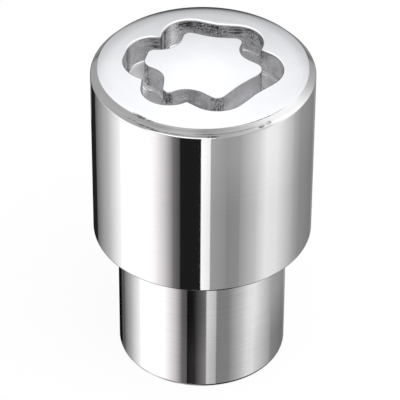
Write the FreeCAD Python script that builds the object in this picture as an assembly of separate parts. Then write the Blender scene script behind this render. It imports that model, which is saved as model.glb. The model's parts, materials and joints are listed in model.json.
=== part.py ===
import FreeCAD, Part
import math
import os

# A locking lug nut for a road wheel, turned from one bar and plated all over.
# It stands on the end of its shank, +Z is up, and the origin is the centre of
# that end. X runs to the right and Y away from the viewer, in millimetres.

# Turned outside
SHANK_DIAMETER = 17.5
SHANK_LENGTH = 15.0
SHANK_END_CHAMFER = 0.3
SEAT_WIDTH = 2.55  # flat ring under the head that presses on the wheel
SEAT_CORNER = 0.3  # slope left in the corner between the seat and the shank
HEAD_LENGTH = 19.7
HEAD_EDGE_CHAMFER = 0.2
TOP_CHAMFER = 0.65

# Threaded hole, blind, opening at the end of the shank
THREAD_DIAMETER = 12.0
THREAD_PITCH = 1.5
MOUTH_MARGIN = 0.3  # how far the countersink stands outside the thread
DRILL_POINT_ANGLE = 118.0
CLOSED_WALL = 5.0  # metal between the hole's full width and the groove's floor

# Key groove in the top face, a closed channel of even width round an island
GROOVE_WIDTH = 2.1
GROOVE_DEPTH = 2.7
GROOVE_FLOOR_FILLET = 0.25
GROOVE_EDGE_BREAK = 0.1
VALLEY_CORNER_RADIUS = 0.15  # the outer wall's corner between two lobes
SADDLE_RADIUS = 5.0  # centreline where one lobe runs gently into the next

SAME_PLACE = 0.001  # two heights or widths closer than this are the same

# Sizes that follow from those above
head_radius = SHANK_DIAMETER / 2 + SEAT_WIDTH
top_height = SHANK_LENGTH + HEAD_LENGTH
floor_height = top_height - GROOVE_DEPTH
tapping_radius = (THREAD_DIAMETER - THREAD_PITCH) / 2
mouth_radius = THREAD_DIAMETER / 2 + MOUTH_MARGIN
bore_depth = floor_height - CLOSED_WALL
valley_radius = VALLEY_CORNER_RADIUS + GROOVE_WIDTH / 2

# The groove's centreline, anticlockwise from the lobe on the right. Each row is
# one lobe: the direction and the distance from the axis of its arc's centre,
# the radius of the island's tip inside it, the radius of the bend that leads to
# the next lobe, and the straight runs before and after that bend. A row with no
# bend has one straight run.
LOBES = [
    (354.5, 4.6, 1.3, valley_radius, 1.0, 0.5),
    (53.5, 5.35, 0.75, SADDLE_RADIUS, 1.5, 1.3),
    (104.0, 5.45, 0.75, valley_radius, 0.8, 0.4),
    (155.5, 5.35, 0.75, None, 0.0, 0.0),
    (168.5, 4.7, 1.3, valley_radius, 0.2, 1.4),
    (229.0, 5.1, 0.65, valley_radius, 0.2, 1.2),
    (287.0, 4.7, 0.95, SADDLE_RADIUS, 2.0, 2.2),
]


def section_point(radius, height):
    """A point of the half section that is turned about Z."""
    return FreeCAD.Vector(radius, 0, height)


def polar(degrees, distance):
    """A point of the top view, from its direction and distance."""
    turn = math.radians(degrees)
    return FreeCAD.Vector(math.cos(turn), math.sin(turn), 0) * distance


def turned_blank():
    """Head, shank and threaded hole as one revolved section."""
    shank_radius = SHANK_DIAMETER / 2
    point_length = tapping_radius / math.tan(math.radians(DRILL_POINT_ANGLE / 2))
    mouth_depth = mouth_radius - tapping_radius
    half_section = [
        section_point(mouth_radius, 0),
        section_point(shank_radius - SHANK_END_CHAMFER, 0),
        section_point(shank_radius, SHANK_END_CHAMFER),
        section_point(shank_radius, SHANK_LENGTH - SEAT_CORNER),
        section_point(shank_radius + SEAT_CORNER, SHANK_LENGTH),
        section_point(head_radius - HEAD_EDGE_CHAMFER, SHANK_LENGTH),
        section_point(head_radius, SHANK_LENGTH + HEAD_EDGE_CHAMFER),
        section_point(head_radius, top_height - TOP_CHAMFER),
        section_point(head_radius - TOP_CHAMFER, top_height),
        section_point(0, top_height),
        section_point(0, bore_depth + point_length),
        section_point(tapping_radius, bore_depth),
        section_point(tapping_radius, mouth_depth),
    ]
    section = Part.Face(Part.makePolygon(half_section + half_section[:1]))
    return section.revolve(FreeCAD.Vector(0, 0, 0), FreeCAD.Vector(0, 0, 1), 360)


def bend_centre(start, end, start_reach, end_reach):
    """The point outside the chord of two lobes, at its reach from each one."""
    chord = end - start
    along = (start_reach**2 - end_reach**2 + chord.Length**2) / (2 * chord.Length)
    outward = math.sqrt(start_reach**2 - along**2)
    direction = FreeCAD.Vector(chord).normalize()
    normal = FreeCAD.Vector(direction.y, -direction.x, 0)
    return start + direction * along + normal * outward


def groove_circles():
    """Centre and signed radius of each arc of the centreline. The radius of a
    bend is negative, because it curves the other way."""
    lobes = []
    for direction, distance, tip_radius, *_ in LOBES:
        lobes.append((polar(direction, distance), tip_radius + GROOVE_WIDTH / 2))
    circles = []
    for index, (centre, radius) in enumerate(lobes):
        circles.append((centre, radius))
        bend, run_in, run_out = LOBES[index][3:]
        if bend:
            next_centre, next_radius = lobes[(index + 1) % len(lobes)]
            start_reach = math.hypot(radius + bend, run_in)
            end_reach = math.hypot(next_radius + bend, run_out)
            place = bend_centre(centre, next_centre, start_reach, end_reach)
            circles.append((place, -bend))
    return circles


def tangent_normal(circle, following):
    """The outward normal of the line that touches both circles."""
    (centre, radius), (next_centre, next_radius) = circle, following
    chord = next_centre - centre
    direction = FreeCAD.Vector(chord).normalize()
    lean = (radius - next_radius) / chord.Length
    outward = FreeCAD.Vector(direction.y, -direction.x, 0)
    return direction * lean + outward * math.sqrt(1 - lean**2)


def groove_outline(offset):
    """The centreline moved outwards by an offset, at the height of the floor."""
    circles = groove_circles()
    lift = FreeCAD.Vector(0, 0, floor_height)
    following = circles[1:] + circles[:1]
    leaving = [tangent_normal(one, two) for one, two in zip(circles, following)]
    arriving = leaving[-1:] + leaving[:-1]
    arcs = []
    for (centre, radius), first, last in zip(circles, arriving, leaving):
        halfway = FreeCAD.Vector(first + last).normalize()
        reach = radius + offset
        points = [centre + lift + normal * reach for normal in (first, halfway, last)]
        arcs.append(Part.Arc(*points))
    edges = []
    for arc, next_arc in zip(arcs, arcs[1:] + arcs[:1]):
        edges.append(arc.toShape())
        edges.append(Part.LineSegment(arc.EndPoint, next_arc.StartPoint).toShape())
    return Part.Wire(edges)


def level_edges(shape, height):
    """The edges that lie flat at one height."""
    found = []
    for edge in shape.Edges:
        box = edge.BoundBox
        if max(abs(box.ZMin - height), abs(box.ZMax - height)) < SAME_PLACE:
            found.append(edge)
    return found


def groove_cutter():
    """The room of the key groove, with its floor edges rounded."""
    up = FreeCAD.Vector(0, 0, GROOVE_DEPTH)
    outside = Part.Face(groove_outline(GROOVE_WIDTH / 2)).extrude(up)
    island = Part.Face(groove_outline(-GROOVE_WIDTH / 2)).extrude(up)
    channel = outside.cut(island)
    return channel.makeFillet(GROOVE_FLOOR_FILLET, level_edges(channel, floor_height))


def lug_nut():
    """The turned blank with the key groove cut into its top face."""
    nut = turned_blank().cut(groove_cutter())
    rim_width = 2 * (head_radius - TOP_CHAMFER)
    top_edges = level_edges(nut, top_height)
    groove_edges = [edge for edge in top_edges if edge.BoundBox.XLength < rim_width - SAME_PLACE]
    return nut.makeChamfer(GROOVE_EDGE_BREAK, groove_edges)


def main():
    os.makedirs("parts", exist_ok=True)
    lug_nut().exportStep("parts/lug_nut.step")


main()
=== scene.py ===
import json
import math

import bmesh
import bpy
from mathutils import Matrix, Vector


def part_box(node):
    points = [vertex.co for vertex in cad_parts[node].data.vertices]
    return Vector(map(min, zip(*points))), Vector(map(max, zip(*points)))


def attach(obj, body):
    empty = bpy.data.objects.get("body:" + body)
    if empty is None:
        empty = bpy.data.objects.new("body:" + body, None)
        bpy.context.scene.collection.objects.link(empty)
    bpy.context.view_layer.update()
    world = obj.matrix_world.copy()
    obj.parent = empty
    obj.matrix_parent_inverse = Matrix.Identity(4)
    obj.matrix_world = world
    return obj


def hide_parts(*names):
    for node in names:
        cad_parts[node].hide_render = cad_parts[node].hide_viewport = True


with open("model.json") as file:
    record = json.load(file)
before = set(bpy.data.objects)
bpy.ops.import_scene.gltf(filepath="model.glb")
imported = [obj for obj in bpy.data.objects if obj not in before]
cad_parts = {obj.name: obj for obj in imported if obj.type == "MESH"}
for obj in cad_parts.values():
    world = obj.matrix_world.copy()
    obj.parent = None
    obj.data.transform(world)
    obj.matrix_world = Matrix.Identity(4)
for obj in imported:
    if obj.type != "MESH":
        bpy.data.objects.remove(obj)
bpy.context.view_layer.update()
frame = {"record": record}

# A locking lug nut in polished plating: a wide turned head with a wavy key
# groove round an island, a plain shank, and a threaded hole for the stud.
# Everything is in metres, and MM turns a size in millimetres into metres.
MM = 0.001

# Sizes that the frame gives
_box_low, box_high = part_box("lug_nut")
mounts = {mount["name"]: mount for mount in frame["record"]["mounts"]}
head_radius = box_high.x
top_height = box_high.z
shank_radius = mounts["shank"]["dims"]["r_mm"] * MM
seat_height = mounts["seat"]["pos_m"][2]
tapping_radius = mounts["stud_thread"]["dims"]["r_mm"] * MM
bore_depth = mounts["stud_thread"]["pos_m"][2] + mounts["stud_thread"]["dims"]["length_mm"] * MM / 2

# Turned outside
TOP_CHAMFER = 0.65 * MM  # its height, as on the solid
CHAMFER_WIDTH = 0.69 * MM
CHAMFER_OFF_CENTRE = 0.12 * MM  # its upper side lies this far to the rear
ROLL_OFF_WIDTH = 1.7 * MM  # rim that polishing has let fall away
ROLL_OFF_DROP = 0.032 * MM
ROLL_OFF_STEPS = 16
CHAMFER_BLEND = 0.09 * MM  # small round along the chamfer's upper side
SHOULDER_ROUND = 0.28 * MM  # and along its lower side
HEAD_EDGE_ROUND = 0.06 * MM
EDGE_BAND = 0.08 * MM  # how far the broken edge's painted shade runs up the side
SEAT_CORNER = 0.3 * MM
SHANK_END_ROUND = 0.25 * MM
MOUTH_BLEND = 0.06 * MM

# Threaded hole
THREAD_PITCH = 1.5 * MM
THREAD_DEPTH = 0.75 * MM
MOUTH_MARGIN = 1.05 * MM
THREAD_RUN_OUT = 1.6 * MM  # height over which the thread fades in or out
THREAD_END_GAP = 2.0 * MM  # plain hole left beyond the thread
THREAD_CREST = 0.125  # share of the pitch that is flat at the tapping size
THREAD_ROOT = 0.25  # share of the pitch that is flat at the full depth
DRILL_POINT_ANGLE = 118.0
DRILL_TIP_RADIUS = 0.02 * MM

# Key groove, the same centreline as the solid's: direction and distance of
# each lobe's centre, the radius of the island's tip inside it, the radius of
# the bend that leads to the next lobe, and the straight runs before and after
# that bend
GROOVE_WIDTH = 2.1 * MM
GROOVE_DEPTH = 2.7 * MM
GROOVE_FLOOR_FILLET = 0.35 * MM
OUTER_EDGE_ROUND = 0.1 * MM
ISLAND_EDGE_ROUND = 0.06 * MM
EDGE_ROLL_WIDTH = 0.35 * MM  # polishing has let the face fall off at the rear
EDGE_ROLL_DROP = 0.012 * MM
EDGE_ROLL_STEPS = 5
EDGE_ROLL_ROOM = 0.8 * MM  # it narrows this near to a sharp corner
EDGE_ROLL_LEAST = 0.1  # share of its width that is left all round
VALLEY_RADIUS = 1.2 * MM
SADDLE_RADIUS = 5.0 * MM
LOBES = [
    (354.5, 4.6 * MM, 1.3 * MM, VALLEY_RADIUS, 1.0 * MM, 0.5 * MM),
    (53.5, 5.35 * MM, 0.75 * MM, SADDLE_RADIUS, 1.5 * MM, 1.3 * MM),
    (104.0, 5.45 * MM, 0.75 * MM, VALLEY_RADIUS, 0.8 * MM, 0.4 * MM),
    (155.5, 5.35 * MM, 0.75 * MM, None, 0.0, 0.0),
    (168.5, 4.7 * MM, 1.3 * MM, VALLEY_RADIUS, 0.2 * MM, 1.4 * MM),
    (229.0, 5.1 * MM, 0.65 * MM, VALLEY_RADIUS, 0.2 * MM, 1.2 * MM),
    (287.0, 4.7 * MM, 0.95 * MM, SADDLE_RADIUS, 2.0 * MM, 2.2 * MM),
]

# Fineness of the mesh
TURNED_SEGMENTS = 192
ROWS_PER_PITCH = 10
GROOVE_STEP = 0.2 * MM
ARC_STEPS_LEAST = 3
CORNER_STEPS = 4
SHARP_FROM = 40.0  # degrees between two faces from which their edge is sharp
SAME_PLACE = 0.0001 * MM  # two points nearer than this become one

# Wear and darkening along the groove's walls, and painted shade on its top edges
WEAR_SPREAD = 3  # steps of the groove over which a corner's wear fades
REAR_DARK_START = 3.5 * MM  # the outer wall is darker behind this
REAR_DARK_LEFT = -3.2 * MM  # and to the right of this
REAR_DARK_FADE = 1.5 * MM
OUTER_EDGE_PAINTED_SHADE = 0.45  # how dark the painted shade makes the outer top edge at the sides
OUTER_EDGE_FRONT = 0.25  # added in front, taken off at the rear
OUTER_EDGE_REAR = 0.5  # added at the rear
ISLAND_EDGE_PAINTED_SHADE = 0.55
ISLAND_EDGE_REAR = 0.25  # added at the rear, taken off in front
ISLAND_EDGE_SIDE = 0.2  # added at the sides

# Camera, fitted to the photograph's edges
LENS = 254.0
SENSOR = 36.0
AIM = Vector((-0.249 * MM, 0.0, 17.91 * MM))
CAMERA_DISTANCE = 291.4 * MM
CAMERA_ELEVATION = math.radians(37.53)
CAMERA_ROLL = math.radians(0.319)
CLIP_START = 10.0 * MM
CLIP_END = 10.0

# Scuffs on the chamfer and the rim inside it, each a thin line round the axis:
# its direction from the camera, its radius, how far it reaches both ways and
# half its thickness. The scuffs are real; their dark, which stands in for what
# their dents mirror, is a painted reflection
SCUFFS_AND_PAINTED_REFLECTIONS = [
    (-37.4, 10.43 * MM, 0.8 * MM, 0.17 * MM),
    (-34.4, 10.49 * MM, 0.9 * MM, 0.2 * MM),
    (-29.8, 10.53 * MM, 0.6 * MM, 0.12 * MM),
    (-39.0, 11.0 * MM, 0.9 * MM, 0.04 * MM),
    (-30.0, 11.09 * MM, 1.3 * MM, 0.08 * MM),
    (-25.0, 11.17 * MM, 0.8 * MM, 0.08 * MM),
    (-14.0, 11.1 * MM, 2.0 * MM, 0.03 * MM),
    (2.5, 10.97 * MM, 0.8 * MM, 0.05 * MM),
    (4.6, 11.19 * MM, 0.8 * MM, 0.12 * MM),
    (22.0, 10.95 * MM, 1.8 * MM, 0.02 * MM),
    (30.9, 11.06 * MM, 0.45 * MM, 0.17 * MM),
    (35.4, 10.98 * MM, 0.42 * MM, 0.28 * MM),
    (33.0, 10.52 * MM, 3.4 * MM, 0.05 * MM),
]
CHAMFER_WORN_AT = 8.0  # direction about which the chamfer shows its tool marks
CHAMFER_WORN_REACH = 9.0 * MM
CHAMFER_WORN_LEAST = 0.25  # share of them that is left everywhere

# Marks on the groove's walls: where they are in the top view, how far they
# reach and how dark they are
UPRIGHT_MARKS = [
    (-4.15 * MM, 5.24 * MM, 0.3 * MM, 4.0),
    (-4.08 * MM, 5.5 * MM, 0.35 * MM, 2.0),
    (-3.7 * MM, 6.3 * MM, 0.45 * MM, 2.6),
    (-7.6 * MM, 2.9 * MM, 0.9 * MM, 0.6),
    (5.4 * MM, 3.9 * MM, 2.2 * MM, 0.45),
]
LEVEL_MARKS = [
    (-4.9 * MM, 4.95 * MM, 1.2 * MM, 0.85),
    (-1.4 * MM, -4.1 * MM, 1.7 * MM, 0.4),
]
SMOOTH_AND_HIGHLIGHT_PLACE = (-2.9 * MM, 7.3 * MM)  # where the wall is smoother and mirrors more, with a painted highlight that lifts its colour
SMOOTH_AND_HIGHLIGHT_REACH = 0.9 * MM
PAINTED_LIGHT_PLACE = (4.0 * MM, -2.8 * MM)  # where a painted pool of light makes it a little brighter
PAINTED_LIGHT_REACH = 3.3 * MM
DARK_PLACE = (-1.25 * MM, 8.1 * MM)  # where the rear is darkest
DARK_REACH = 1.4 * MM
REAR_DARK_FULL = 0.15  # shares of the depth between which the rear's darkening fades
REAR_DARK_FAINT = 0.5

# Painted shade on the broken edges, under the head and where the shank stands
# on the floor: direction from the camera, radius, height and reach
PAINTED_EDGE_SHADE = [
    (8.0, 11.3 * MM, 15.0 * MM, 3.4 * MM),
    (25.0, 8.75 * MM, 0.0, 8.0 * MM),
    (55.0, 8.75 * MM, 0.0, 5.0 * MM),
    (-68.0, 8.75 * MM, 0.0, 3.0 * MM),
]

# Dark colours: of marks, and of scuffs whose dark is a painted reflection; of
# the groove's walls; of the painted shade on the groove's top edges and on the broken edges
DARK_MARKS_AND_PAINTED_REFLECTIONS = (0.22, 0.215, 0.215)
DARK_WALL = (0.1, 0.095, 0.095)
PAINTED_GROOVE_EDGE_COLOUR = (0.08, 0.075, 0.075)
PAINTED_EDGE_SHADE_COLOUR = (0.015, 0.014, 0.014)

# Ranges of a value that a finish spreads out
NOISE_RANGE = (0.3, 0.7)
FULL_RANGE = (0.0, 1.0)

# Finishes of the nut, in the order of its material slots
TOP, HEAD, CHAMFER, SHANK, GROOVE, GROOVE_CORNER, GROOVE_FLOOR, GROOVE_EDGE, EDGE, BORE = range(10)


def camera_place():
    """Where the camera stands."""
    away = Vector((0.0, -math.cos(CAMERA_ELEVATION), math.sin(CAMERA_ELEVATION)))
    return AIM + away * CAMERA_DISTANCE


def add_object(name, data):
    """A new object in the scene."""
    item = bpy.data.objects.new(name, data)
    bpy.context.scene.collection.objects.link(item)
    return item


def add_camera():
    """The camera at the photograph's viewing angle."""
    data = bpy.data.cameras.new("photo_camera")
    data.sensor_width = SENSOR
    data.lens = LENS
    data.clip_start = CLIP_START
    data.clip_end = CLIP_END
    camera = add_object("photo_camera", data)
    camera.location = camera_place()
    camera.rotation_euler = (math.pi / 2 - CAMERA_ELEVATION, 0.0, 0.0)
    camera.rotation_euler.rotate_axis("Z", CAMERA_ROLL)
    bpy.context.scene.camera = camera


def polar(degrees, distance):
    """A point of the top view, from its direction and distance."""
    turn = math.radians(degrees)
    return Vector((math.cos(turn), math.sin(turn))) * distance


def side_place(direction, radius, height):
    """A point on a turned side, by its direction from the camera."""
    turn = math.radians(direction)
    return (radius * math.sin(turn), -radius * math.cos(turn), height)


def bend_centre(start, end, start_reach, end_reach):
    """The point outside the chord of two lobes, at its reach from each one."""
    chord = end - start
    along = (start_reach**2 - end_reach**2 + chord.length**2) / (2 * chord.length)
    outward = math.sqrt(start_reach**2 - along**2)
    direction = chord.normalized()
    return start + direction * along + Vector((direction.y, -direction.x)) * outward


def groove_circles():
    """Centre and signed radius of each arc of the groove's centreline."""
    lobes = []
    for direction, distance, tip_radius, *_ in LOBES:
        lobes.append((polar(direction, distance), tip_radius + GROOVE_WIDTH / 2))
    circles = []
    for index, (centre, radius) in enumerate(lobes):
        circles.append((centre, radius))
        bend, run_in, run_out = LOBES[index][3:]
        if bend:
            next_centre, next_radius = lobes[(index + 1) % len(lobes)]
            start_reach = math.hypot(radius + bend, run_in)
            end_reach = math.hypot(next_radius + bend, run_out)
            place = bend_centre(centre, next_centre, start_reach, end_reach)
            circles.append((place, -bend))
    return circles


def tangent_normal(circle, following):
    """The outward normal of the line that touches both circles."""
    (centre, radius), (next_centre, next_radius) = circle, following
    chord = next_centre - centre
    direction = chord.normalized()
    lean = (radius - next_radius) / chord.length
    return direction * lean + Vector((direction.y, -direction.x)) * math.sqrt(1 - lean**2)


def centreline():
    """Points of the groove's centreline, each with its outward normal and how
    it runs: 1 round a lobe, -1 in a bend, 0 straight."""
    circles = groove_circles()
    following = circles[1:] + circles[:1]
    leaving = [tangent_normal(one, two) for one, two in zip(circles, following)]
    arriving = leaving[-1:] + leaving[:-1]
    line = []
    for index, ((centre, radius), first, last) in enumerate(zip(circles, arriving, leaving)):
        start = math.atan2(first.y, first.x)
        sweep = math.atan2(first.cross(last), first.dot(last))
        steps = max(ARC_STEPS_LEAST, math.ceil(abs(sweep * radius) / GROOVE_STEP))
        for step in range(steps + 1):
            turn = start + sweep * step / steps
            normal = Vector((math.cos(turn), math.sin(turn)))
            line.append((centre + normal * radius, normal, math.copysign(1.0, radius)))
        next_centre, next_radius = following[index]
        end = centre + last * radius
        run = next_centre + last * next_radius - end
        steps = math.ceil(run.length / GROOVE_STEP)
        for step in range(1, steps):
            line.append((end + run * step / steps, last, 0.0))
    return line


def wall_darkening(line, side):
    """Darkening along one wall, as a pair for each point: wear at the corners,
    and darkening along the outer wall's rear. The side is 1 for the outer wall, -1 for the
    island's. On the island only the middle of a corner is worn."""
    darkening = []
    for index, (base, _normal, _run) in enumerate(line):
        steps = range(-WEAR_SPREAD, WEAR_SPREAD + 1)
        near = [line[(index + step) % len(line)][2] for step in steps]
        corner = sum(max(0.0, -run * side) for run in near) / len(near)
        rear = min(1.0, (base.y - REAR_DARK_START) / REAR_DARK_FADE)
        right = min(1.0, (base.x - REAR_DARK_LEFT) / REAR_DARK_FADE)
        if side > 0:
            darkening.append((corner, max(0.0, min(rear, right))))
        else:
            darkening.append((max(0.0, 2 * corner - 1), 0.0))
    return darkening


def painted_groove_edge_shade(line, side):
    """How much painted shade a top edge of the groove gets at each point of the
    line, set by which way the edge faces. The outer edge is darkest in front and at the rear, the
    island's at the rear."""
    darkening = []
    for _base, normal, _run in line:
        if side > 0:
            rear = OUTER_EDGE_REAR * max(0.0, normal.y)**2
            darkening.append(OUTER_EDGE_PAINTED_SHADE - OUTER_EDGE_FRONT * normal.y + rear)
        else:
            sideways = ISLAND_EDGE_SIDE * abs(normal.x)
            darkening.append(ISLAND_EDGE_PAINTED_SHADE + ISLAND_EDGE_REAR * normal.y + sideways)
    return darkening


def roll_shares(line, side):
    """How much of its full width the roll-off has along one top edge."""
    corners = [centre for centre, radius in groove_circles() if radius == -VALLEY_RADIUS]
    shares = []
    for base, normal, _run in line:
        place = base + normal * side * GROOVE_WIDTH / 2
        away = min((place - corner).length for corner in corners)
        share = min(1.0, away / EDGE_ROLL_ROOM, normal.y) if side > 0 else 0.0
        shares.append(max(EDGE_ROLL_LEAST, share))
    return shares


def even_steps(start, end, steps):
    """Numbers from one to another in even steps, both ends included."""
    return [start + (end - start) * step / steps for step in range(steps + 1)]


def arc_points(centre, radius, start, end):
    """Points along an arc in a section, from one direction in degrees to another."""
    turns = [math.radians(degrees) for degrees in even_steps(start, end, CORNER_STEPS)]
    return [(centre[0] + radius * math.cos(turn), centre[1] + radius * math.sin(turn)) for turn in turns]


def rounded_corner(before, corner, after, radius):
    """The arc that rounds one corner of a section, as a list of points."""
    corner = Vector(corner)
    towards = (Vector(before) - corner).normalized()
    onwards = (Vector(after) - corner).normalized()
    half = towards.angle(onwards) / 2
    start = corner + towards * radius / math.tan(half)
    centre = corner + (towards + onwards).normalized() * radius / math.sin(half)
    spoke = start - centre
    begin = math.degrees(math.atan2(spoke.y, spoke.x))
    sweep = 180 - 2 * math.degrees(half)
    if towards.cross(onwards) > 0:
        sweep = -sweep
    return arc_points(centre, radius, begin, begin + sweep)


def join_rows(mesh, rows, finish=0):
    """Four-sided faces between neighbouring rows of points."""
    for one, two in zip(rows, rows[1:]):
        for index in range(len(one) - 1):
            face = mesh.faces.new((one[index], one[index + 1], two[index + 1], two[index]))
            face.material_index = finish


class Skin:
    """Collects the rows of points that make the nut's surface."""

    def __init__(self):
        self.mesh = bmesh.new()
        layers = self.mesh.verts.layers.float
        self.darkening_layers = [layers.new(name) for name in ("corner_wear", "rear_darkening", "painted_groove_edge_shade")]

    def row(self, points):
        return [self.mesh.verts.new(point) for point in points]

    def ring(self, radius, height):
        """A full circle of points about the axis."""
        turns = [2 * math.pi * index / TURNED_SEGMENTS for index in range(TURNED_SEGMENTS)]
        return self.row([(radius * math.cos(turn), radius * math.sin(turn), height) for turn in turns])

    def bands(self, rows, finish):
        """Closed bands of faces between neighbouring rows."""
        join_rows(self.mesh, [row + row[:1] for row in rows], finish)

    def turn(self, points, finish):
        """Turns a section about the axis, and returns its rows."""
        rows = [self.ring(radius, height) for radius, height in points]
        self.bands(rows, finish)
        return rows

    def fill(self, rows, finish):
        """Fills the level area between closed rows with triangles. Its border
        is a crease, so that the area stays level in the light too."""
        edges = []
        for row in rows:
            for index in range(len(row)):
                pair = (row[index - 1], row[index])
                edges.append(self.mesh.edges.get(pair) or self.mesh.edges.new(pair))
        for edge in edges:
            edge.smooth = False
        made = bmesh.ops.triangle_fill(self.mesh, use_beauty=True, use_dissolve=False, edges=edges)
        for item in made["geom"]:
            if isinstance(item, bmesh.types.BMFace):
                item.material_index = finish


def rim_section():
    """The top face's outer rim, from its level part to the chamfer's top."""
    edge = head_radius - CHAMFER_WIDTH
    points = []
    for step in range(ROLL_OFF_STEPS):
        share = step / ROLL_OFF_STEPS
        fall = ROLL_OFF_DROP * share**3
        points.append((edge - ROLL_OFF_WIDTH * (1 - share), top_height - fall))
    return points


def add_outside(skin):
    """Head and shank, from the level top face to the hole's mouth. Returns the
    row where the top face's rim begins."""
    chamfer_edge = (head_radius - CHAMFER_WIDTH, top_height - ROLL_OFF_DROP)
    shoulder = (head_radius, top_height - TOP_CHAMFER)
    head_foot = (head_radius, seat_height)
    seat_corner = (shank_radius, seat_height)
    shank_foot = (shank_radius, 0.0)
    mouth = (tapping_radius + MOUTH_MARGIN, 0.0)
    hole_start = (tapping_radius, MOUTH_MARGIN)

    rim = rim_section()
    upper = rounded_corner(rim[-1], chamfer_edge, shoulder, CHAMFER_BLEND)
    lower = rounded_corner(chamfer_edge, shoulder, head_foot, SHOULDER_ROUND)
    head_edge = rounded_corner(shoulder, head_foot, seat_corner, HEAD_EDGE_ROUND)
    seat = rounded_corner(head_foot, seat_corner, shank_foot, SEAT_CORNER)
    shank_edge = rounded_corner(seat_corner, shank_foot, mouth, SHANK_END_ROUND)
    mouth_edge = rounded_corner(shank_foot, mouth, hole_start, MOUTH_BLEND)
    head_band = (head_radius, head_edge[0][1] + EDGE_BAND)
    shank_band = (shank_radius, shank_edge[0][1] + EDGE_BAND)
    middle = CORNER_STEPS // 2

    rim_rows = skin.turn(rim + upper, TOP)
    chamfer_rows = skin.turn(upper[-1:] + lower[:middle + 1], CHAMFER)
    for row in rim_rows + chamfer_rows[:1]:
        for point in row:
            point.co.y += CHAMFER_OFF_CENTRE
    skin.turn(lower[middle:] + [head_band], HEAD)
    # the broken edges under the head and at the shank's foot carry painted shade
    skin.turn([head_band] + head_edge, EDGE)
    skin.turn(head_edge[-1:] + seat, HEAD)
    skin.turn([seat[-1], shank_band], SHANK)
    skin.turn([shank_band] + shank_edge, EDGE)
    skin.turn(shank_edge[-1:] + mouth_edge + [hole_start], SHANK)
    return rim_rows[0]


def thread_depth(phase):
    """Depth of the thread below the tapping size, over one pitch from 0 to 1."""
    flank = (1 - THREAD_CREST - THREAD_ROOT) / 2
    rise = (phase - THREAD_CREST) / flank
    fall = (1 - phase) / flank
    return THREAD_DEPTH * max(0.0, min(1.0, rise, fall))


def add_bore(skin):
    """The threaded hole with its drilled point. The rows follow the helix."""
    start = MOUTH_MARGIN
    thread_end = bore_depth - THREAD_END_GAP
    turns = math.ceil((thread_end - start) / THREAD_PITCH) + 1
    rows = []
    for level in range(-ROWS_PER_PITCH, turns * ROWS_PER_PITCH + 1):
        points = []
        for index in range(TURNED_SEGMENTS + 1):
            turn = index / TURNED_SEGMENTS
            height = start + THREAD_PITCH * (level / ROWS_PER_PITCH + turn)
            height = min(max(height, start), thread_end)
            room = min(height - start, thread_end - height)
            fade = min(1.0, room / THREAD_RUN_OUT)
            phase = level / ROWS_PER_PITCH % 1.0
            radius = tapping_radius + thread_depth(phase) * fade
            angle = 2 * math.pi * turn
            points.append((radius * math.cos(angle), radius * math.sin(angle), height))
        rows.append(skin.row(points))
    join_rows(skin.mesh, rows, BORE)
    point_length = tapping_radius / math.tan(math.radians(DRILL_POINT_ANGLE / 2))
    tip = (DRILL_TIP_RADIUS, bore_depth + point_length)
    wall = skin.turn([(tapping_radius, thread_end), (tapping_radius, bore_depth), tip], BORE)
    skin.mesh.faces.new(wall[-1]).material_index = BORE


def groove_profile(edge_round):
    """One side of the groove's section from the level face down to the floor.
    Each point has its distance from the centreline, its height, and the shares
    of the roll-off's width and drop that go with it."""
    half = GROOVE_WIDTH / 2
    floor_height = top_height - GROOVE_DEPTH
    fillet = GROOVE_FLOOR_FILLET
    points = []
    for step in range(EDGE_ROLL_STEPS):
        share = step / EDGE_ROLL_STEPS
        points.append((half + edge_round, top_height, 1 - share, share**2))
    edge_centre = (half + edge_round, top_height - edge_round)
    for offset, height in arc_points(edge_centre, edge_round, 90, 180):
        points.append((offset, height, 0.0, 1.0))
    floor_centre = (half - fillet, floor_height + fillet)
    for offset, height in arc_points(floor_centre, fillet, 0, -90):
        points.append((offset, height, 0.0, 0.0))
    return points


def add_groove(skin):
    """The key groove, swept along its centreline. Returns its two top edges."""
    line = centreline()
    outer = groove_profile(OUTER_EDGE_ROUND)
    island = groove_profile(ISLAND_EDGE_ROUND)
    rows = []
    for side, points in ((1, outer), (-1, island[::-1])):
        rolls = roll_shares(line, side)
        darkening = [(*wall, edge) for wall, edge in zip(wall_darkening(line, side), painted_groove_edge_shade(line, side))]
        for offset, height, widening, fall in points:
            places = []
            for (base, normal, _run), roll in zip(line, rolls):
                place = base + normal * side * (offset + EDGE_ROLL_WIDTH * roll * widening)
                places.append((place.x, place.y, height - EDGE_ROLL_DROP * roll * fall))
            row = skin.row(places)
            for point, values in zip(row, darkening):
                for layer, value in zip(skin.darkening_layers, values):
                    point[layer] = value
            rows.append(row)
    finishes = [TOP] * EDGE_ROLL_STEPS + [GROOVE_EDGE] * CORNER_STEPS + [GROOVE]
    finishes += [GROOVE_CORNER] * CORNER_STEPS
    finishes += [GROOVE_FLOOR] + finishes[::-1]
    for one, two, finish in zip(rows, rows[1:], finishes):
        skin.bands([one, two], finish)
    return rows[0], rows[-1]


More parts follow.
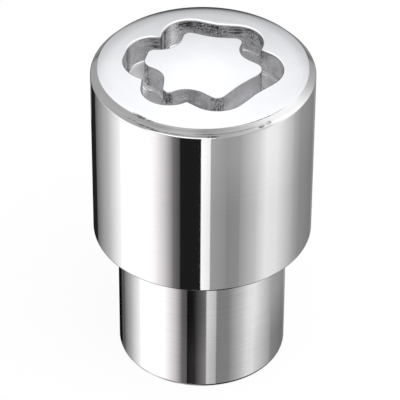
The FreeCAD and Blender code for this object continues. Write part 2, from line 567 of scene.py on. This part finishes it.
def add_nut():
    """The whole nut as one closed mesh."""
    skin = Skin()
    rim = add_outside(skin)
    add_bore(skin)
    outer_edge, island_edge = add_groove(skin)
    skin.fill([rim, outer_edge], TOP)
    skin.fill([island_edge], TOP)
    bmesh.ops.remove_doubles(skin.mesh, verts=skin.mesh.verts, dist=SAME_PLACE)
    bmesh.ops.recalc_face_normals(skin.mesh, faces=skin.mesh.faces)
    for face in skin.mesh.faces:
        face.smooth = True
    data = bpy.data.meshes.new("locking_nut")
    skin.mesh.to_mesh(data)
    skin.mesh.free()
    nut = add_object("locking_nut", data)
    finishes = (
        top_plating, head_plating, chamfer_plating, shank_plating, groove_plating,
        groove_corner_plating, groove_floor_plating, groove_edge_plating, edge_plating, bore_plating,
    )
    for finish in finishes:
        data.materials.append(finish())
    creases = [edge.use_edge_sharp for edge in data.edges]
    data.set_sharp_from_angle(angle=math.radians(SHARP_FROM))
    for edge, crease in zip(data.edges, creases):
        edge.use_edge_sharp = edge.use_edge_sharp or crease
    weighting = nut.modifiers.new("weighted_normals", "WEIGHTED_NORMAL")
    weighting.keep_sharp = True
    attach(nut, "root")
    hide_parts("lug_nut")
    return nut


class Finish:
    """A metal finish under construction: its shader, which starts from a plain
    colour and roughness, and the marks that vary them."""

    def __init__(self, name, colour, roughness):
        self.material = bpy.data.materials.new(name)
        self.material.use_nodes = True
        self.tree = self.material.node_tree
        self.shader = self.tree.nodes["Principled BSDF"]
        self.shader.inputs["Metallic"].default_value = 1.0
        self.shader.inputs["Base Color"].default_value = (*colour, 1.0)
        self.shader.inputs["Roughness"].default_value = roughness
        self.object_place = self.add("ShaderNodeTexCoord").outputs["Object"]

    def add(self, kind, **settings):
        node = self.tree.nodes.new(kind)
        for key, value in settings.items():
            setattr(node, key, value)
        return node

    def join(self, source, target):
        self.tree.links.new(source, target)

    def math(self, operation, first, second=0.0):
        """A sum on one or two sockets or numbers."""
        node = self.add("ShaderNodeMath", operation=operation)
        for socket, value in zip(node.inputs, (first, second)):
            if isinstance(value, (int, float)):
                socket.default_value = value
            else:
                self.join(value, socket)
        return node.outputs[0]

    def plus(self, first, second):
        return self.math("ADD", first, second)

    def minus(self, first, second):
        return self.math("SUBTRACT", first, second)

    def times(self, first, second):
        return self.math("MULTIPLY", first, second)

    def larger(self, first, second):
        return self.math("MAXIMUM", first, second)

    def parts(self):
        """The place on the object as its three coordinates."""
        node = self.add("ShaderNodeSeparateXYZ")
        self.join(self.object_place, node.inputs[0])
        return node.outputs

    def flat_place(self):
        """The place in the top view, without its height."""
        flat = self.add("ShaderNodeVectorMath", operation="MULTIPLY")
        self.join(self.object_place, flat.inputs[0])
        flat.inputs[1].default_value = (1.0, 1.0, 0.0)
        return flat.outputs[0]

    def distance(self, vector, place):
        node = self.add("ShaderNodeVectorMath", operation="DISTANCE")
        self.join(vector, node.inputs[0])
        node.inputs[1].default_value = place
        return node.outputs["Value"]

    def off_axis(self):
        """How far each place is from the nut's axis."""
        return self.distance(self.flat_place(), (0.0, 0.0, 0.0))

    def noise(self, place, detail):
        """Noise over coordinates that are already to scale, from 0 to 1."""
        node = self.add("ShaderNodeTexNoise")
        node.inputs["Scale"].default_value = 1.0
        node.inputs["Detail"].default_value = detail
        self.join(place, node.inputs["Vector"])
        return node.outputs["Fac"]

    def turned_noise(self, across, around, detail=3.0):
        """Noise drawn out round the axis, as turning marks are. It changes
        this often in each metre, across the marks and around the axis."""
        x, y, z = self.parts()
        place = self.add("ShaderNodeCombineXYZ")
        self.join(self.times(x, around), place.inputs[0])
        self.join(self.times(y, around), place.inputs[1])
        self.join(self.times(self.minus(self.off_axis(), z), across), place.inputs[2])
        return self.noise(place.outputs[0], detail)

    def wall_noise(self, level, upright, detail=4.0):
        """Noise that changes this often in each metre, level and upright."""
        mapping = self.add("ShaderNodeMapping")
        mapping.inputs["Scale"].default_value = (level, level, upright)
        self.join(self.object_place, mapping.inputs["Vector"])
        return self.noise(mapping.outputs[0], detail)

    def spread(self, value, low, high, within=NOISE_RANGE):
        """Maps a range of a value onto a range of numbers."""
        node = self.add("ShaderNodeMapRange")
        self.join(value, node.inputs["Value"])
        node.inputs["From Min"].default_value = within[0]
        node.inputs["From Max"].default_value = within[1]
        node.inputs["To Min"].default_value = low
        node.inputs["To Max"].default_value = high
        return node.outputs["Result"]

    def stored(self, name):
        """A value that the mesh stores for each of its points."""
        return self.add("ShaderNodeAttribute", attribute_name=name).outputs["Fac"]

    def nearness(self, place, reach):
        """1 at a place, fading to 0 at its reach. A place without a height
        stands for the upright line through it."""
        if len(place) == 3:
            away = self.distance(self.object_place, place)
        else:
            away = self.distance(self.flat_place(), (*place, 0.0))
        return self.spread(away, 1.0, 0.0, within=(0.0, reach))

    def line_round(self, radius, reach):
        """1 on a circle round the axis, fading to 0 at its reach."""
        away = self.math("ABSOLUTE", self.minus(self.off_axis(), radius))
        return self.spread(away, 1.0, 0.0, within=(0.0, reach))

    def with_scuffs_and_painted_reflections(self, depth):
        """Adds the scuffs to a depth of darkening, each ragged by a coarse noise. Their dark is a
        painted reflection of the nicks.
        """
        rough = self.turned_noise(across=5000.0, around=3400.0, detail=2.0)
        ragged = self.spread(rough, 0.2, 3.0)
        for direction, radius, reach, half_width in SCUFFS_AND_PAINTED_REFLECTIONS:
            height = top_height - max(0.0, radius - head_radius + TOP_CHAMFER)
            near = self.nearness(side_place(direction, radius, height), reach)
            line = self.times(near, self.line_round(radius, half_width))
            depth = self.larger(depth, self.times(line, ragged))
        return depth

    def blend(self, value, low, high, within=NOISE_RANGE):
        """Colours the surface between two colours."""
        node = self.add("ShaderNodeMix", data_type="RGBA")
        self.join(self.spread(value, 0.0, 1.0, within), node.inputs["Factor"])
        node.inputs["A"].default_value = (*low, 1.0)
        node.inputs["B"].default_value = (*high, 1.0)
        self.join(node.outputs["Result"], self.shader.inputs["Base Color"])

    def roughen(self, value, low, high):
        self.join(self.spread(value, low, high), self.shader.inputs["Roughness"])

    def raise_marks(self, value, height, under=None):
        """Raises marks by a height in metres, on top of others if given."""
        node = self.add("ShaderNodeBump")
        node.inputs["Strength"].default_value = 1.0
        node.inputs["Distance"].default_value = height
        self.join(value, node.inputs["Height"])
        if under:
            self.join(under, node.inputs["Normal"])
        self.join(node.outputs["Normal"], self.shader.inputs["Normal"])
        return node.outputs["Normal"]


def top_plating():
    """Bright polished plating, a little uneven, on the top face, with scuffs whose dark is a painted
    reflection.
    """
    finish = Finish("top_plating", (0.94, 0.94, 0.955), 0.05)
    clouds = finish.wall_noise(level=500.0, upright=500.0, detail=3.0)
    marks = finish.turned_noise(across=5000.0, around=60.0)
    finish.roughen(marks, 0.04, 0.07)
    depth = finish.with_scuffs_and_painted_reflections(finish.spread(clouds, 0.03, 0.0))
    finish.blend(depth, (0.938, 0.952, 0.98), DARK_MARKS_AND_PAINTED_REFLECTIONS, within=FULL_RANGE)
    finish.raise_marks(marks, 0.0003 * MM)
    return finish.material


def head_plating():
    """Bright plating over fine turning marks, on the side of the head."""
    finish = Finish("head_plating", (0.93, 0.93, 0.94), 0.05)
    marks = finish.turned_noise(across=5000.0, around=60.0)
    lines = finish.turned_noise(across=7000.0, around=90.0)
    finish.roughen(marks, 0.03, 0.06)
    finish.blend(lines, (0.915, 0.915, 0.925), (0.945, 0.945, 0.95))
    finish.raise_marks(marks, 0.0006 * MM)
    return finish.material


def chamfer_plating():
    """Plating over the marks that the chamfering tool left, with scuffs whose dark is a painted
    reflection.
    """
    finish = Finish("chamfer_plating", (0.9, 0.9, 0.91), 0.16)
    marks = finish.turned_noise(across=6500.0, around=90.0)
    rough = finish.turned_noise(across=5000.0, around=2200.0, detail=2.0)
    finish.roughen(marks, 0.1, 0.2)
    worn_place = side_place(CHAMFER_WORN_AT, head_radius, top_height)
    darkened = finish.plus(finish.nearness(worn_place, CHAMFER_WORN_REACH), CHAMFER_WORN_LEAST)
    depth = finish.times(finish.spread(marks, 0.42, 0.0, within=(0.35, 0.6)), darkened)
    finish.blend(finish.with_scuffs_and_painted_reflections(depth), (0.95, 0.95, 0.955), DARK_MARKS_AND_PAINTED_REFLECTIONS, within=FULL_RANGE)
    ridges = finish.raise_marks(marks, 0.003 * MM)
    finish.raise_marks(rough, 0.003 * MM, ridges)
    return finish.material


def shank_plating():
    """Plating over plainer turning marks, a little less bright."""
    finish = Finish("shank_plating", (0.92, 0.92, 0.93), 0.1)
    marks = finish.turned_noise(across=4500.0, around=120.0)
    lines = finish.turned_noise(across=8000.0, around=140.0)
    finish.roughen(marks, 0.06, 0.11)
    finish.blend(lines, (0.87, 0.87, 0.88), (0.95, 0.95, 0.955))
    finish.raise_marks(marks, 0.0015 * MM)
    return finish.material


def groove_darkening(finish, upright, level, mottle):
    """How dark the groove's walls are, from 0: darker along the rear, most near
    the top, streaked where a corner is worn, and marked in places."""
    fading = (top_height - GROOVE_DEPTH * REAR_DARK_FAINT, top_height - GROOVE_DEPTH * REAR_DARK_FULL)
    upper = finish.spread(finish.parts()["Z"], 0.2, 1.0, within=fading)
    rear_noise = finish.plus(level, finish.times(mottle, 0.5))
    darkest = finish.times(finish.nearness(DARK_PLACE, DARK_REACH), 0.7)
    rear_dark = finish.plus(finish.spread(rear_noise, 1.25, 0.05, within=(0.62, 0.81)), darkest)
    rear = finish.times(finish.stored("rear_darkening"), finish.times(rear_dark, upper))
    streaked = finish.spread(finish.plus(upright, mottle), 0.72, 0.0, within=(0.8, 1.1))
    dark = finish.larger(rear, finish.times(finish.stored("corner_wear"), streaked))
    kinds = [
        (UPRIGHT_MARKS, upright, 0.3, (0.4, 0.6)),
        (LEVEL_MARKS, level, 0.1, (0.42, 0.58)),
    ]
    for marks, noise, faint, within in kinds:
        for x, y, reach, depth in marks:
            ragged = finish.spread(noise, depth, faint * depth, within)
            dark = finish.larger(dark, finish.times(finish.nearness((x, y), reach), ragged))
    return dark


def groove_plating():
    """Satin plating on the key groove's walls, worn and marked in places, darker along the rear, and
    lifted by painted light in two places.
    """
    finish = Finish("groove_plating", (0.85, 0.85, 0.86), 0.45)
    upright = finish.wall_noise(level=7000.0, upright=600.0)
    level = finish.wall_noise(level=700.0, upright=8000.0)
    mottle = finish.wall_noise(level=5000.0, upright=5000.0)
    clouds = finish.wall_noise(level=900.0, upright=900.0, detail=2.0)
    grain = finish.spread(finish.plus(mottle, clouds), 0.68, 1.08, within=(0.8, 1.2))
    smooth_and_highlight = finish.nearness(SMOOTH_AND_HIGHLIGHT_PLACE, SMOOTH_AND_HIGHLIGHT_REACH)
    painted_light = finish.times(finish.nearness(PAINTED_LIGHT_PLACE, PAINTED_LIGHT_REACH), 0.25)
    # painted light: a pool of light and a highlight lift the wall's colour in two places
    bright = finish.plus(grain, finish.larger(finish.times(smooth_and_highlight, 0.15), painted_light))
    light = finish.minus(bright, groove_darkening(finish, upright, level, mottle))
    rough = finish.minus(finish.spread(mottle, 0.35, 0.55), finish.times(smooth_and_highlight, 0.3))
    finish.join(rough, finish.shader.inputs["Roughness"])
    finish.blend(light, DARK_WALL, (0.96, 0.955, 0.975), within=FULL_RANGE)
    under = finish.raise_marks(upright, 0.008 * MM)
    finish.raise_marks(mottle, 0.01 * MM, under)
    return finish.material


def groove_corner_plating():
    """Smooth plating in the rounded corners of the groove's floor."""
    finish = Finish("groove_corner_plating", (0.95, 0.95, 0.96), 0.14)
    mottle = finish.wall_noise(level=2500.0, upright=2500.0, detail=2.0)
    finish.roughen(mottle, 0.05, 0.13)
    finish.blend(mottle, (0.9, 0.9, 0.91), (0.97, 0.97, 0.98))
    finish.raise_marks(mottle, 0.003 * MM)
    return finish.material


def groove_floor_plating():
    """Brighter plating on the key groove's floor, with milling marks."""
    finish = Finish("groove_floor_plating", (0.9, 0.9, 0.91), 0.35)
    streaks = finish.wall_noise(level=5000.0, upright=5000.0)
    finish.roughen(streaks, 0.28, 0.45)
    finish.blend(streaks, (0.78, 0.77, 0.77), (0.98, 0.98, 0.99))
    finish.raise_marks(streaks, 0.012 * MM)
    return finish.material


def groove_edge_plating():
    """Plating on the groove's broken top edges, darkened by painted shade that depends on which way each
    edge faces.
    """
    finish = Finish("groove_edge_plating", (0.6, 0.6, 0.6), 0.2)
    marks = finish.wall_noise(level=1500.0, upright=1500.0, detail=3.0)
    # painted shade: each edge is darker by which way it faces
    darkened = finish.times(finish.stored("painted_groove_edge_shade"), finish.spread(marks, 0.7, 1.1))
    finish.roughen(marks, 0.14, 0.28)
    finish.blend(darkened, (0.95, 0.95, 0.96), PAINTED_GROOVE_EDGE_COLOUR, within=FULL_RANGE)
    finish.raise_marks(marks, 0.002 * MM)
    return finish.material


def edge_plating():
    """Plating on the broken edges of the head and shank, darkened all along, and most in places, by
    painted shade under the head and where the shank meets the floor.
    """
    finish = Finish("edge_plating", (0.6, 0.6, 0.6), 0.25)
    marks = finish.turned_noise(across=2500.0, around=500.0, detail=2.0)
    dark = finish.spread(marks, 0.75, 0.2)
    for direction, radius, height, reach in PAINTED_EDGE_SHADE:
        near = finish.nearness(side_place(direction, radius, height), reach)
        dark = finish.larger(dark, finish.times(near, finish.spread(marks, 2.6, 1.2)))
    finish.roughen(marks, 0.15, 0.35)
    finish.blend(dark, (0.9, 0.9, 0.9), PAINTED_EDGE_SHADE_COLOUR, within=FULL_RANGE)
    finish.raise_marks(marks, 0.003 * MM)
    return finish.material


def bore_plating():
    """Thin plating on the thread, a little uneven."""
    finish = Finish("bore_plating", (0.5, 0.5, 0.51), 0.3)
    marks = finish.turned_noise(across=8000.0, around=200.0, detail=2.0)
    finish.roughen(marks, 0.22, 0.4)
    finish.blend(marks, (0.42, 0.42, 0.43), (0.58, 0.58, 0.59))
    finish.raise_marks(marks, 0.003 * MM)
    return finish.material


# Studio: what the metal mirrors. Each card spans angles round a turned side,
# from the direction of the camera, and its tone goes from one to the other.
# The number before the tint multiplies the tone at the foot. A card lies on
# the floor where the camera sees it in that side.
WHITE = 1.12
PLAIN = (1.0, 1.0, 1.0)
WARM = (1.0, 0.955, 0.965)
HEAD_CARDS = [
    ("left_flag", -89.5, -71, 0.012, 0.016, 1.0, PLAIN),
    ("left_edge", -71, -57, 0.125, 0.475, 1.02, PLAIN),
    ("left_rise", -57, -46, 0.455, 0.97, 1.04, PLAIN),
    ("left_white", -46, -28, WHITE, WHITE, 1.0, PLAIN),
    ("warm_light", -28, -24.5, 1.15, 1.02, 1.0, WARM),
    ("warm_middle", -24.5, -19, 1.02, 0.62, 0.97, WARM),
    ("warm_fall", -19, -15, 0.61, 0.22, 0.96, WARM),
    ("warm_edge", -15, -11.3, 0.19, 0.07, 0.95, WARM),
    ("middle_flag", -11.3, -0.8, 0.012, 0.012, 1.0, PLAIN),
    ("middle_white", -0.8, 3.9, WHITE, 0.92, 0.93, PLAIN),
    ("right_grey", 3.9, 12, 0.4, 0.325, 0.86, PLAIN),
    ("right_level", 12, 19, 0.325, 0.365, 0.76, PLAIN),
    ("right_rise", 19, 28.5, 0.38, 0.68, 0.85, PLAIN),
    ("right_step", 28.5, 34, 0.67, 0.91, 0.92, PLAIN),
    ("right_light", 34, 41, 0.91, 0.87, 0.91, PLAIN),
    ("right_fall", 41, 53, 0.85, 0.46, 0.91, PLAIN),
    ("right_dim", 53, 58.5, 0.43, 0.315, 0.93, PLAIN),
    ("right_shade", 58.5, 77, 0.31, 0.22, 0.9, PLAIN),
    ("right_edge", 77, 89, 0.33, 0.37, 0.8, PLAIN),
]
SHANK_CARDS = [
    ("left_flag", -89.5, -74, 0.0, 0.004, 1.0, PLAIN),
    ("left_lift", -74, -70, 0.02, 0.14, 1.1, PLAIN),
    ("left_line", -70, -67.5, 0.07, 0.07, 1.1, PLAIN),
    ("left_rise", -67.5, -58, 0.14, 0.43, 1.0, PLAIN),
    ("left_light", -58, -47, 0.42, 0.97, 1.02, PLAIN),
    ("left_white", -47, -26, WHITE, WHITE, 1.0, PLAIN),
    ("warm_light", -26, -18, 1.15, 0.6, 0.98, WARM),
    ("warm_fall", -18, -13.5, 0.6, 0.14, 0.98, WARM),
    ("warm_edge", -13.5, -10, 0.12, 0.09, 1.2, WARM),
    ("middle_flag", -10.2, -5.5, 0.003, 0.01, 3.0, PLAIN),
    ("middle_lift", -5.5, 3.1, 0.01, 0.16, 1.5, WARM),
    ("middle_light", 3.1, 9.8, 0.74, 0.52, 0.84, PLAIN),
    ("right_grey", 9.8, 18, 0.215, 0.225, 1.0, PLAIN),
    ("right_rise", 18, 27, 0.225, 0.52, 0.96, PLAIN),
    ("right_step", 27, 33, 0.52, 0.79, 0.97, PLAIN),
    ("right_light", 33, 38, 0.79, 0.85, 0.93, PLAIN),
    ("right_fall", 38, 55, 0.85, 0.38, 0.84, PLAIN),
    ("right_dim", 55, 75, 0.38, 0.24, 0.65, PLAIN),
    ("right_edge", 75, 89, 0.3, 0.5, 0.6, PLAIN),
]
CARD_LIFT = 0.05 * MM
CARD_STEP = 2.0  # degrees
ZONE_EDGE = 29.0 * MM  # cards nearer than this belong to the shank
CARD_REACH = 4.0  # how far out the head's cards run, as heights of the nut
SHANK_FOOT = 0.2 * MM  # height on the shank from which its cards are mirrored
HEAD_FALL_START = 31.5 * MM  # height on the head from which a card's tone falls
HEAD_FALL_END = 25.0 * MM
SHANK_FALL_START = 9.5 * MM
SHANK_FALL_END = 3.5 * MM

# Upright screens round the nut: the direction from the camera, right positive,
# the tone there and the height of the screen's top in millimetres
SCREEN_DISTANCE = 250.0 * MM
RING_TONES = [
    (-150, 0.36, 500), (-120, 0.39, 500), (-94, 0.43, 500), (-54, 0.41, 650), (-45, 0.5, 750),
    (-30, 0.545, 900), (-20, 0.54, 900), (-11, 0.48, 900), (0, 0.37, 900), (11, 0.38, 900),
    (22, 0.43, 900), (44, 0.52, 750), (63, 0.68, 550), (72, 0.88, 450), (81, 1.05, 350),
    (88, 1.12, 280), (101, 1.1, 175), (108, 1.02, 175), (120, 0.73, 175), (126, 0.56, 175),
    (132, 0.45, 175), (150, 0.34, 175),
]

# A low light in front, which the round under the chamfer mirrors
LIP_LIGHT_DISTANCE = 245.0 * MM
LIP_LIGHT_START = -52.0
LIP_LIGHT_END = 12.0
LIP_LIGHT_LOW = 50.0 * MM
LIP_LIGHT_HIGH = 215.0 * MM
LIP_LIGHT_TONE = 1.4

# The screen behind the nut: a height in millimetres, the tone there straight
# behind the nut and the tone there to both sides
REAR_TONES = [
    (0, 0.03, 0.12), (125, 0.03, 0.12), (162, 0.03, 0.08), (169, 0.07, 0.12), (173, 0.27, 0.3),
    (179, 0.43, 0.46), (184, 0.53, 0.57), (191, 0.58, 0.62), (196, 0.65, 0.62), (203, 0.92, 0.62),
    (209, 1.13, 0.7), (225, 1.11, 0.9), (242, 1.11, 1.03), (320, 1.11, 1.03),
]
REAR_HALF_WIDTH = 30.0  # degrees to each side of straight behind
REAR_SIDE = 10.0  # degrees at which the side tones begin
SCREEN_STEP = 3.0  # degrees
REAR_FLOOR_NEAR = 43.0 * MM
REAR_FLOOR_LIFT = 0.1 * MM  # above the cards of the head
REAR_FLOOR_TONES = (0.02, 0.25)

# Floor, surround and lamp
FLOOR_HALF_SIZE = 3.0
FLOOR_TONE = 0.9
FLOOR_GLOW = 0.93  # how white the floor looks in itself, the rest is its shadow
SURROUND_LIGHT = 0.7
LAMP_SIZE = 0.3
LAMP_POWER = 1.2
LAMP_PLACE = (0.1, -0.12, 0.45)


def level_at(stops, place, column):
    """The value at a place between stops, from one column of their values."""
    for one, two in zip(stops, stops[1:]):
        if one[0] <= place <= two[0]:
            share = (place - one[0]) / (two[0] - one[0])
            return one[column] + (two[column] - one[column]) * share
    return stops[-1][column]


def bare_material(name):
    """A material with nothing in it yet but its output: the material, its node
    tree and the socket for its surface."""
    material = bpy.data.materials.new(name)
    material.use_nodes = True
    tree = material.node_tree
    tree.nodes.clear()
    surface = tree.nodes.new("ShaderNodeOutputMaterial").inputs["Surface"]
    return material, tree, surface


def add_card_material():
    """The material of all the cards. It shines by the tone in their meshes."""
    _material, tree, surface = bare_material("studio_card")
    shine = tree.nodes.new("ShaderNodeEmission")
    tone = tree.nodes.new("ShaderNodeAttribute")
    tone.attribute_name = "tone"
    tree.links.new(tone.outputs["Color"], shine.inputs["Color"])
    tree.links.new(shine.outputs[0], surface)


def add_screen(name, rows, tones):
    """A sheet through rows of points, seen only in the metal, with the colour
    of the light at each point."""
    mesh = bmesh.new()
    join_rows(mesh, [[mesh.verts.new(point) for point in row] for row in rows])
    data = bpy.data.meshes.new(name)
    mesh.to_mesh(data)
    mesh.free()
    colours = data.attributes.new("tone", "FLOAT_COLOR", "POINT")
    colours.data.foreach_set("color", [level for tone in tones for level in (*tone, 1.0)])
    data.materials.append(bpy.data.materials["studio_card"])
    screen = add_object(name, data)
    for sight in ("camera", "diffuse", "transmission", "volume_scatter", "shadow"):
        setattr(screen, "visible_" + sight, False)


def floor_reflection(radius, degrees, height):
    """The floor point that the camera sees mirrored in a point of a side."""
    point = Vector(side_place(degrees, radius, height))
    normal = Vector(side_place(degrees, 1.0, 0.0))
    sight = (point - camera_place()).normalized()
    bounce = sight - 2 * sight.dot(normal) * normal
    place = point - bounce * (height / bounce.z)
    place.z = CARD_LIFT
    return place


def add_cards(side, cards, radius, levels):
    """Lays a set of cards on the floor for one turned side. Each level is a
    height on the side, and how far the tone has fallen there, from 0 to 1."""
    for name, start, end, start_tone, end_tone, foot, tint in cards:
        steps = math.ceil((end - start) / CARD_STEP)
        rows = []
        tones = []
        for degrees, tone in zip(even_steps(start, end, steps), even_steps(start_tone, end_tone, steps)):
            rows.append([floor_reflection(radius, degrees, height) for height, _fall in levels])
            for _height, fall in levels:
                level = tone * (1 + (foot - 1) * fall)
                tones.append([level * part for part in tint])
        add_screen(side + "_" + name, rows, tones)


def add_side_cards():
    """The cards that the head and the shank mirror."""
    slope = math.tan(CAMERA_ELEVATION)
    add_cards("head", HEAD_CARDS, head_radius, [
        ((ZONE_EDGE - head_radius) * slope, 1.0),
        (HEAD_FALL_END, 1.0),
        (HEAD_FALL_START, 0.0),
        (top_height * CARD_REACH, 0.0),
    ])
    add_cards("shank", SHANK_CARDS, shank_radius, [
        (SHANK_FOOT, 1.0),
        (SHANK_FALL_END, 1.0),
        (SHANK_FALL_START, 0.0),
        ((ZONE_EDGE - shank_radius) * slope, 0.0),
    ])


def screen_steps(start, end):
    """Directions at which an upright screen has its rows."""
    return even_steps(start, end, round((end - start) / SCREEN_STEP))


def add_ring():
    """The screen round the front and sides, which the chamfer mirrors."""
    rows = []
    tones = []
    for degrees in screen_steps(RING_TONES[0][0], RING_TONES[-1][0]):
        heights = (0.0, level_at(RING_TONES, degrees, 2) * MM)
        rows.append([side_place(degrees, SCREEN_DISTANCE, height) for height in heights])
        tones += [[level_at(RING_TONES, degrees, 1)] * 3] * 2
    add_screen("ring_screen", rows, tones)


def add_lip_light():
    """The low light in front."""
    rows = []
    heights = (LIP_LIGHT_LOW, LIP_LIGHT_HIGH)
    for degrees in screen_steps(LIP_LIGHT_START, LIP_LIGHT_END):
        rows.append([side_place(degrees, LIP_LIGHT_DISTANCE, height) for height in heights])
    add_screen("lip_light", rows, [[LIP_LIGHT_TONE] * 3] * (2 * len(rows)))


def add_rear():
    """The screen and the dark floor behind, which the top face's rim and the
    groove's near edges mirror."""
    rows = []
    tones = []
    floor_rows = []
    floor_tones = []
    for degrees in screen_steps(-REAR_HALF_WIDTH, REAR_HALF_WIDTH):
        behind = 180 + degrees
        side = min(1.0, abs(degrees) / REAR_SIDE)
        rows.append([side_place(behind, SCREEN_DISTANCE, stop[0] * MM) for stop in REAR_TONES])
        tones += [[middle + (edge - middle) * side] * 3 for _height, middle, edge in REAR_TONES]
        distances = (REAR_FLOOR_NEAR, SCREEN_DISTANCE)
        floor_rows.append([side_place(behind, distance, REAR_FLOOR_LIFT) for distance in distances])
        middle, edge = REAR_FLOOR_TONES
        floor_tones += [[middle + (edge - middle) * side] * 3] * 2
    add_screen("rear_screen", rows, tones)
    add_screen("rear_floor_card", floor_rows, floor_tones)


def seen_directly(tree):
    """1 for rays from the camera or a mirror or glass, else 0."""
    path = tree.nodes.new("ShaderNodeLightPath")
    seen = path.outputs["Is Camera Ray"]
    for kind in ("Is Glossy Ray", "Is Transmission Ray"):
        larger = tree.nodes.new("ShaderNodeMath")
        larger.operation = "MAXIMUM"
        tree.links.new(seen, larger.inputs[0])
        tree.links.new(path.outputs[kind], larger.inputs[1])
        seen = larger.outputs[0]
    return seen


def add_floor():
    """A plain pale floor that keeps the nut's shadow."""
    material, tree, surface = bare_material("pale_floor")
    paper = tree.nodes.new("ShaderNodeBsdfDiffuse")
    paper.inputs["Color"].default_value = (FLOOR_TONE, FLOOR_TONE, FLOOR_TONE, 1.0)
    shine = tree.nodes.new("ShaderNodeEmission")
    shine.inputs["Strength"].default_value = 1.0
    share = tree.nodes.new("ShaderNodeMath")
    share.operation = "MULTIPLY"
    share.inputs[1].default_value = FLOOR_GLOW
    tree.links.new(seen_directly(tree), share.inputs[0])
    mix = tree.nodes.new("ShaderNodeMixShader")
    tree.links.new(share.outputs[0], mix.inputs["Fac"])
    tree.links.new(paper.outputs[0], mix.inputs[1])
    tree.links.new(shine.outputs[0], mix.inputs[2])
    tree.links.new(mix.outputs[0], surface)
    data = bpy.data.meshes.new("floor")
    corners = [(-1, -1), (1, -1), (1, 1), (-1, 1)]
    places = [(x * FLOOR_HALF_SIZE, y * FLOOR_HALF_SIZE, 0.0) for x, y in corners]
    data.from_pydata(places, [], [(0, 1, 2, 3)])
    data.materials.append(material)
    floor = add_object("floor", data)


def add_world():
    """Soft even light, and a white surround for the camera and the metal."""
    world = bpy.data.worlds.new("studio")
    bpy.context.scene.world = world
    world.use_nodes = True
    tree = world.node_tree
    background = tree.nodes["Background"]
    background.inputs["Color"].default_value = (1.0, 1.0, 1.0, 1.0)
    level = tree.nodes.new("ShaderNodeMapRange")
    level.inputs["To Min"].default_value = SURROUND_LIGHT
    level.inputs["To Max"].default_value = 1.0
    tree.links.new(seen_directly(tree), level.inputs["Value"])
    tree.links.new(level.outputs["Result"], background.inputs["Strength"])


def add_lamp():
    """One broad soft lamp overhead."""
    data = bpy.data.lights.new("softbox", "AREA")
    data.size = LAMP_SIZE
    data.energy = LAMP_POWER
    lamp = add_object("softbox", data)
    lamp.location = LAMP_PLACE
    lamp.rotation_euler = (-lamp.location).to_track_quat("-Z", "Y").to_euler()
    lamp.visible_glossy = False


def main():
    bpy.context.scene.view_settings.view_transform = "Standard"
    add_camera()
    add_world()
    add_floor()
    add_lamp()
    add_nut()
    add_card_material()
    add_side_cards()
    add_ring()
    add_lip_light()
    add_rear()


main()
